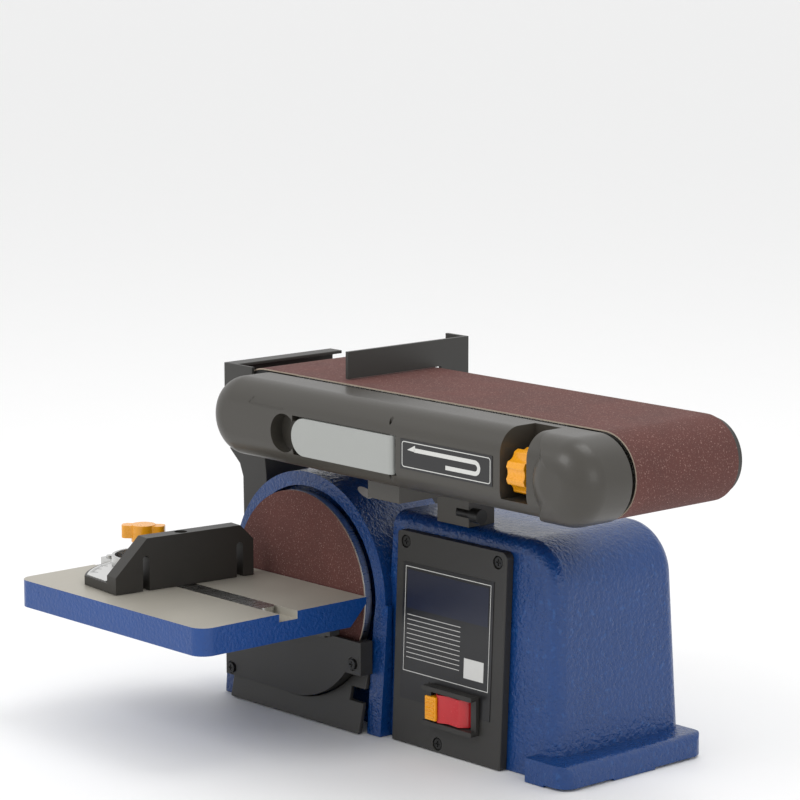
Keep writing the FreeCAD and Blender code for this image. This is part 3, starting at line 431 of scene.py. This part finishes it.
class Surface:
    """The front of a piece, for laying prints and ridges on it."""

    def __init__(self, node: str) -> None:
        """Index the faces of a node."""
        mesh = frame["nodes"][node].data
        self.tree = BVHTree.FromPolygons([vertex.co for vertex in mesh.vertices],
                                         [tuple(face.vertices) for face in mesh.polygons])

    def front(self, x: float, z: float) -> float:
        """The depth, in millimetres, at which the front is met at a place.

        Args:
            x: Across, in millimetres.
            z: Up, in millimetres.

        Returns:
            The depth along Y, in millimetres.
        """
        hit = self.tree.ray_cast(Vector((x * MM, -1.0, z * MM)), Vector((0, 1, 0)))
        if hit[0] is None:
            raise ValueError(f"nothing is met at {x:.1f}, {z:.1f}")
        return hit[0].y / MM


def ribbon(points: list[Point2], width: float, closed: bool = False) -> list[list[Point2]]:
    """Quads along a line of a constant width.

    Args:
        points: The middle of the line.
        width: Its width.
        closed: Whether the line meets its start.

    Returns:
        Four corners for each quad.
    """
    count = len(points)
    sides = []
    for index in range(count):
        before = points[index - 1] if closed or index else points[index]
        after = points[(index + 1) % count] if closed or index + 1 < count else points[index]
        across = Vector((before[1] - after[1], after[0] - before[0])).normalized() * (width / 2)
        x, z = points[index]
        sides.append(((x + across.x, z + across.y), (x - across.x, z - across.y)))
    last = count if closed else count - 1
    pairs = ((sides[index], sides[(index + 1) % count]) for index in range(last))
    return [[near[0], far[0], far[1], near[1]] for near, far in pairs]


def round_box(left: float, low: float, right: float, high: float, radius: float,
              steps: int = 6) -> list[Point2]:
    """The corners of a rectangle with rounded corners, anticlockwise.

    Args:
        left: Left side.
        low: Bottom.
        right: Right side.
        high: Top.
        radius: Radius of the corners.
        steps: Steps round each corner.

    Returns:
        The corners in order.
    """
    points = []
    for x, z, start in ((right - radius, high - radius, 0), (left + radius, high - radius, 90),
                        (left + radius, low + radius, 180), (right - radius, low + radius, 270)):
        for step in range(steps + 1):
            angle = math.radians(start + 90 * step / steps)
            points.append((x + radius * math.cos(angle), z + radius * math.sin(angle)))
    return points


def lay(name: str, faces: list[list[Point2]], surface: Surface, lift: float, body: str,
        finish: str) -> bpy.types.Object:
    """Lay flat shapes on the front of a piece as one thin closed layer.

    Args:
        name: The piece's name.
        faces: Outlines, each of x and z in millimetres.
        surface: The surface they are laid on.
        lift: How far the layer stands proud, in millimetres.
        body: The body it rides on.
        finish: The finish.

    Returns:
        The piece.
    """
    work = bmesh.new()
    for outline in faces:
        proud, sunk = [], []
        for x, z in outline:
            y = surface.front(x, z)
            proud.append(work.verts.new(Vector((x, y - lift, z)) * MM))
            sunk.append(work.verts.new(Vector((x, y + 0.05, z)) * MM))
        work.faces.new(proud)
        work.faces.new(list(reversed(sunk)))
        count = len(outline)
        for index in range(count):
            following = (index + 1) % count
            work.faces.new((proud[index], sunk[index], sunk[following], proud[following]))
    bmesh.ops.recalc_face_normals(work, faces=work.faces)
    mesh = bpy.data.meshes.new(name)
    work.to_mesh(mesh)
    work.free()
    mesh.materials.append(SHOP.get(finish))
    return add_piece(name, mesh, body)


class Repeat(Enum):
    """How repeated bars are set out."""

    ROW = "row"
    ARC = "arc"


@dataclass(frozen=True)
class Bars:
    """Repeated bars, made by Geometry Nodes.

    Args:
        layout: Row or arc.
        count: How many bars.
        start: Middle of the first bar, or the arc's centre, in millimetres.
        step: From one bar to the next, in millimetres, for a row.
        size: Size of a bar, in millimetres.
        radius: Radius of the arc, in millimetres.
        first: Angle of the first bar of an arc, in degrees.
        turn: Angle from one bar to the next, in degrees.
    """

    layout: Repeat
    count: int
    start: tuple[float, float, float]
    size: tuple[float, float, float]
    step: tuple[float, float, float] = (0.0, 0.0, 0.0)
    radius: float = 0.0
    first: float = 0.0
    turn: float = 0.0

    def _tree(self) -> bpy.types.NodeTree:
        """The tree that sets the bars out, with named inputs.

        Returns:
            The tree.
        """
        tree = bpy.data.node_groups.new("bars_in_a_" + self.layout.value, "GeometryNodeTree")
        graph = Graph(tree)
        kinds = (("Count", "NodeSocketInt"), ("Start", "NodeSocketVector"), ("Step", "NodeSocketVector"),
                 ("Size", "NodeSocketVector"), ("Radius", "NodeSocketFloat"), ("First", "NodeSocketFloat"),
                 ("Turn", "NodeSocketFloat"), ("Finish", "NodeSocketMaterial"))
        for name, kind in kinds:
            tree.interface.new_socket(name, in_out="INPUT", socket_type=kind)
        tree.interface.new_socket("Bars", in_out="OUTPUT", socket_type="NodeSocketGeometry")
        given = graph.node("NodeGroupInput").outputs
        index = graph.value("GeometryNodeInputIndex", 0)
        line = graph.node("GeometryNodeMeshLine", None, {"Count": given["Count"]})
        angle = index * Value(graph, given["Turn"]) + Value(graph, given["First"])
        if self.layout is Repeat.ARC:
            reach = Value(graph, given["Radius"])
            ends = {0: angle.cosine() * reach, 1: angle.sine() * reach}
            away = graph.node("ShaderNodeCombineXYZ", None, ends)
            shift = away.outputs[0]
        else:
            scaled = graph.node("ShaderNodeVectorMath", {"operation": "SCALE"},
                                {0: given["Step"], "Scale": index})
            shift = scaled.outputs[0]
        place = graph.node("ShaderNodeVectorMath", {"operation": "ADD"}, {0: given["Start"], 1: shift})
        points = graph.node("GeometryNodeSetPosition", None,
                            {"Geometry": line.outputs[0], "Position": place.outputs[0]})
        bar = graph.node("GeometryNodeMeshCube", None, {"Size": given["Size"]})
        heading = graph.node("ShaderNodeCombineXYZ", None, {2: angle})
        copies = graph.node("GeometryNodeInstanceOnPoints", None, {
            "Points": points.outputs[0], "Instance": bar.outputs[0], "Rotation": heading.outputs[0]})
        real = graph.node("GeometryNodeRealizeInstances", None, {0: copies.outputs[0]})
        dressed = graph.node("GeometryNodeSetMaterial", None,
                             {"Geometry": real.outputs[0], "Material": given["Finish"]})
        graph.node("NodeGroupOutput", None, {0: dressed.outputs[0]})
        return tree

    def make(self, name: str, body: str, finish: str) -> bpy.types.Object:
        """Make the bars as one plain piece.

        Args:
            name: The piece's name.
            body: The body it rides on.
            finish: The finish.

        Returns:
            The piece.
        """
        holder = bpy.data.objects.new(name + "_work", bpy.data.meshes.new(name + "_work"))
        bpy.context.scene.collection.objects.link(holder)
        modifier = holder.modifiers.new("bars", "NODES")
        tree = self._tree()
        modifier.node_group = tree
        inputs = {"Count": self.count, "Start": [part * MM for part in self.start],
                  "Step": [part * MM for part in self.step], "Size": [part * MM for part in self.size],
                  "Radius": self.radius * MM, "First": math.radians(self.first),
                  "Turn": math.radians(self.turn),
                  "Finish": SHOP.get(finish)}
        for item in tree.interface.items_tree:
            if item.in_out == "INPUT":
                modifier[item.identifier] = inputs[item.name]
        mesh = plain_mesh(holder, name)
        holder.modifiers.remove(modifier)
        bpy.data.objects.remove(holder)
        return add_piece(name, mesh, body)


@dataclass
class Casework:
    """The cast base, hood, guards, chute and the other hard pieces with softened edges."""

    edges: dict[str, tuple[float, int]] = field(default_factory=lambda: {
        "base_casting": (1.1, 2), "disc_guard": (1.2, 2), "lower_panel": (0.8, 2), "dust_chute": (1.2, 2),
        "switch_panel": (0.8, 2), "pivot_bracket": (1.0, 2), "table_bracket": (0.5, 2),
        "drive_cover": (2.6, 3),
        "arm_casting": (0.0, 1), "arm_rest": (1.0, 2), "work_stop": (0.6, 2), "belt_end_guard": (0.5, 2),
        "idler_end_guard": (0.5, 2), "tension_lever": (2.0, 3), "tracking_knob": (0.9, 2),
        "table_lock_knob": (1.2, 3), "miter_head": (0.9, 2), "miter_knob": (1.4, 3), "miter_collar": (0.6, 2),
        "switch_rocker": (0.8, 3), "safety_key": (0.8, 2), "switch_bezel": (0.9, 3), "cord_gland": (0.6, 2),
        "motor_rear_cover": (1.0, 2), "disc_plate": (0.4, 2), "platen": (0.4, 1)})

    def build(self) -> dict[str, bpy.types.Object]:
        """Make every skin and return them by node."""
        return {node: skin(node, edge, steps) for node, (edge, steps) in self.edges.items()}


@dataclass
class Table:
    """The iron work table: painted sides and a machined top."""

    top: float = 107.5
    rim: float = 1.4
    slot_front: float = -161.5
    slot_back: float = -143.0
    slot_floor: float = 98.0
    sideways: float = 0.5

    def build(self) -> None:
        """Make the skin and give the machined faces their finish."""
        obj = skin("work_table", 1.0, 2)
        obj.data.materials.append(SHOP.get("machined_top"))
        for face in obj.data.polygons:
            middle = face.center / MM
            in_slot = self.slot_front < middle.y < self.slot_back and middle.z > self.slot_floor
            if middle.z > self.top - self.rim or (in_slot and abs(face.normal.x) < self.sideways):
                face.material_index = 1


@dataclass
class LeverPin:
    """The tension lever's pin, kept short enough to stay inside the arm's rounded face."""

    low: float = 225.6
    high: float = 260.0
    radius: float = 1.45
    sides: int = 24

    def build(self) -> None:
        """Make the pin and let it stand for the node."""
        low, high = (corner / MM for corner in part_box("lever_pin"))
        middle = (low + high) / 2
        work = bmesh.new()
        ends = []
        for height in (self.low, self.high):
            ends.append([work.verts.new(Vector((
                middle.x + self.radius * math.cos(2 * math.pi * side / self.sides),
                middle.y + self.radius * math.sin(2 * math.pi * side / self.sides), height)) * MM)
                for side in range(self.sides)])
        for end in ends:
            work.faces.new(end)
        for side in range(self.sides):
            following = (side + 1) % self.sides
            work.faces.new((ends[0][side], ends[0][following], ends[1][following], ends[1][side]))
        bmesh.ops.recalc_face_normals(work, faces=work.faces)
        mesh = bpy.data.meshes.new("lever_pin_short")
        work.to_mesh(mesh)
        work.free()
        mesh.materials.append(SHOP.get("shaft_steel"))
        obj = add_piece("lever_pin_short", mesh, "arm")
        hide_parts("lever_pin")


@dataclass
class Abrasives:
    """The belt and the disc paper, with pale cut edges."""

    limit: float = 0.9

    def build(self) -> None:
        """Make both skins and give their cut edges a finish."""
        for node, cut_edge in (("sanding_belt", True), ("abrasive_disc", False)):
            obj = skin(node, 0.0)
            obj.data.materials.append(SHOP.get("paper_edge"))
            for face in obj.data.polygons:
                if (abs(face.normal.y) > self.limit) == cut_edge:
                    face.material_index = 1


@dataclass
class Labels:
    """Plain generic print on the label, the direction plate and the arm."""

    label_left: float = 11.7
    label_right: float = 109.7
    label_high: float = 138.3
    inset: float = 3.0
    foot: float = 56.0
    block_low: float = 104.0
    block_high: float = 133.0
    box_low: float = 62.0
    box_high: float = 77.0
    rows: int = 10
    row_top: float = 99.0
    row_step: float = -3.6
    row_size: tuple[float, float, float] = (58.0, 0.16, 0.45)
    lean: float = 0.0402
    line: float = 0.7
    lift: float = 0.12

    def rating(self) -> None:
        """Outline, dark block, rows of fine bars and a small white box on the label."""
        surface = Surface("rating_label")
        left, right = self.label_left + self.inset, self.label_right - self.inset
        roof = self.label_high - self.inset
        outline = [(left, self.foot), (left, roof), (right, roof), (right, self.foot)]
        lay("label_outline", ribbon(outline, self.line, closed=True), surface, self.lift, "base",
            "print_white")
        block = [(left + 2, self.block_low), (right - 2, self.block_low),
                 (right - 2, self.block_high), (left + 2, self.block_high)]
        lay("label_block", [block], surface, self.lift, "base", "print_navy")
        box = [(right - 26, self.box_low), (right - 5, self.box_low),
               (right - 5, self.box_high), (right - 26, self.box_high)]
        lay("label_box", [box], surface, self.lift, "base", "print_white")
        front = surface.front(left + 20, self.row_top)
        rows = Bars(Repeat.ROW, self.rows, (left + 32, front - 0.02, self.row_top), self.row_size,
                    (0.0, self.row_step * self.lean, self.row_step))
        rows.make("label_lines", "base", "print_white")

    def direction(self) -> None:
        """Outline and a U-turn arrow on the plate beside the lever."""
        low, high = (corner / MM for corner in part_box("direction_plate"))
        surface = Surface("direction_plate")
        left, right, floor, roof = low.x + 2.0, high.x - 2.0, low.z + 1.8, high.z - 1.8
        width, height = right - left, roof - floor
        lay("direction_outline", ribbon(round_box(left, floor, right, roof, 2.0), 0.6, closed=True), surface,
            self.lift, "arm", "print_white")
        reach = height * 0.22
        bend, middle = left + width * 0.83, floor + height * 0.5
        path = [(left + width * 0.14, middle + reach)]
        path += [(bend + reach * math.sin(math.radians(a)), middle + reach * math.cos(math.radians(a)))
                 for a in range(0, 181, 15)]
        path.append((left + width * 0.5, middle - reach))
        head = [(left + width * 0.06, middle + reach - 0.6), (left + width * 0.15, middle + reach - 1.3),
                (left + width * 0.15, middle + reach + 3.4)]
        lay("direction_arrow", ribbon(path, height * 0.17) + [head], surface, self.lift, "arm",
            "print_white")

    def moulded_arrow(self) -> None:
        """A faint raised outline on the arm's face, left of the lever."""
        surface = Surface("arm_casting")
        path = [(-66.0, 262.5), (-70.5, 257.5), (-44.0, 257.0)]
        tail = [(-44.0, 256.6), (-30.5, 257.6), (-36.5, 250.5)]
        ridges = ribbon(path, self.line) + ribbon(tail, self.line)
        lay("moulded_arrow", ridges, surface, 0.3, "arm", "arm_paint")

    def build(self) -> None:
        """Lay every print."""
        self.rating()
        self.direction()
        self.moulded_arrow()


@dataclass
class HoodDecal:
    """A small blank oval sticker on the hood's round top."""

    centre_x: float = -98.5
    centre_z: float = 100.5
    radius: float = 90.15
    angle: float = 60.0
    depth: float = -45.0
    half_across: float = 7.5
    half_deep: float = 5.0
    steps: int = 28

    def build(self) -> None:
        """Wrap the oval on the hood."""
        work = bmesh.new()
        layers = []
        for radius in (self.radius, self.radius - 0.25):
            ring = []
            for index in range(self.steps):
                turn = 2 * math.pi * index / self.steps
                angle = math.radians(self.angle) + self.half_across * math.cos(turn) / self.radius
                y = self.depth + self.half_deep * math.sin(turn)
                ring.append(work.verts.new(Vector((self.centre_x + radius * math.cos(angle), y,
                                                   self.centre_z + radius * math.sin(angle))) * MM))
            layers.append(ring)
        work.faces.new(layers[0])
        work.faces.new(list(reversed(layers[1])))
        for index in range(self.steps):
            following = (index + 1) % self.steps
            work.faces.new((layers[0][index], layers[1][index], layers[1][following], layers[0][following]))
        bmesh.ops.recalc_face_normals(work, faces=work.faces)
        mesh = bpy.data.meshes.new("hood_decal")
        work.to_mesh(mesh)
        work.free()
        mesh.materials.append(SHOP.get("print_white"))
        add_piece("hood_decal", mesh, "base")


@dataclass
class Graduations:
    """The miter scale's ticks and the key's ribs."""

    pivot: Point2 = (-145.5, -152.25)
    scale_top: float = 115.5
    turn: float = -6.2

    def build(self) -> None:
        """Make the ticks and the ribs."""
        start = (self.pivot[0], self.pivot[1], self.scale_top)
        Bars(Repeat.ARC, 51, start, (3.0, 0.35, 0.12), radius=69.0, first=130.0 + self.turn, turn=2.0).make(
            "scale_fine_ticks", "gauge_head", "print_black")
        Bars(Repeat.ARC, 11, start, (6.0, 0.6, 0.14), radius=67.5, first=130.0 + self.turn, turn=10.0).make(
            "scale_long_ticks", "gauge_head", "print_black")
        low, high = (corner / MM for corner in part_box("safety_key"))
        middle = (low + high) / 2
        Bars(Repeat.ROW, 5, (middle.x, low.y, middle.z - 6.0), (9.0, 1.2, 1.3), (0.0, 0.0, 3.0)).make(
            "key_ribs", "key", "yellow_plastic")


@dataclass
class Studio:
    """Floor, lights, surroundings and camera."""

    lens: float = 141.94
    place: tuple[float, float, float] = (1.72669, -1.60808, 0.64696)
    azimuth: float = 0.839
    elevation: float = 0.166

    def _lamp(self, name: str, spot: tuple[float, float, float], size: float, power: float) -> None:
        """Add a soft square light that faces the object.

        Args:
            name: The light's name.
            spot: Where it stands.
            size: Its side.
            power: Its power.
        """
        data = bpy.data.lights.new(name, "AREA")
        data.size = size
        data.energy = power
        obj = bpy.data.objects.new(name, data)
        obj.location = spot
        obj.rotation_euler = (Vector((0, 0, 0.12)) - Vector(spot)).to_track_quat("-Z", "Y").to_euler()
        bpy.context.scene.collection.objects.link(obj)

    def build(self) -> None:
        """Make the studio."""
        scene = bpy.context.scene
        scene.view_settings.view_transform = "Standard"
        world = bpy.data.worlds.new("studio")
        world.use_nodes = True
        graph = Graph(world.node_tree)
        sky = graph.node("ShaderNodeBackground", None, {"Color": (1, 1, 1, 1), "Strength": 0.95})
        graph.node("ShaderNodeOutputWorld", None, {"Surface": sky.outputs[0]})
        scene.world = world
        half = 40.0
        mesh = bpy.data.meshes.new("floor")
        corners = [(-half, -half, 0), (half, -half, 0), (half, half, 0), (-half, half, 0)]
        mesh.from_pydata([(x, y, z - 0.0005) for x, y, z in corners], [], [(0, 1, 2, 3)])
        white = Finish((0.9, 0.9, 0.9), Texture.SATIN, 0.6, contrast=0.01)
        mesh.materials.append(Paint("floor_white", white).material)
        floor = bpy.data.objects.new("floor", mesh)
        scene.collection.objects.link(floor)
        self._lamp("key", (-0.6, -2.0, 1.9), 1.0, 15.0)
        self._lamp("right_fill", (2.2, -0.4, 1.0), 1.0, 5.0)
        self._lamp("top", (0.2, 0.5, 2.2), 1.0, 9.0)
        camera = bpy.data.cameras.new("view")
        camera.lens = self.lens
        camera.sensor_width = 36.0
        obj = bpy.data.objects.new("view", camera)
        obj.location = self.place
        level = math.cos(self.elevation)
        ahead = Vector((-math.sin(self.azimuth) * level, math.cos(self.azimuth) * level,
                        -math.sin(self.elevation)))
        obj.rotation_euler = ahead.to_track_quat("-Z", "Y").to_euler()
        scene.collection.objects.link(obj)
        scene.camera = obj


def dress_nodes() -> None:
    """Give every carried-over node the finish of its slot."""
    for node, obj in frame["nodes"].items():
        material = SHOP.get(SLOTS[node])
        if not obj.material_slots:
            obj.data.materials.append(material)
        for slot in obj.material_slots:
            slot.link = "OBJECT"
            slot.material = material


def main() -> None:
    """Build the looks around the frame, part by part."""
    logging.basicConfig(level=logging.INFO, format="%(name)s: %(message)s")
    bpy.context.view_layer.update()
    dress_nodes()
    Casework().build()
    Table().build()
    Abrasives().build()
    LeverPin().build()
    Labels().build()
    HoodDecal().build()
    Graduations().build()
    Studio().build()


if __name__ == "__main__":
    main()
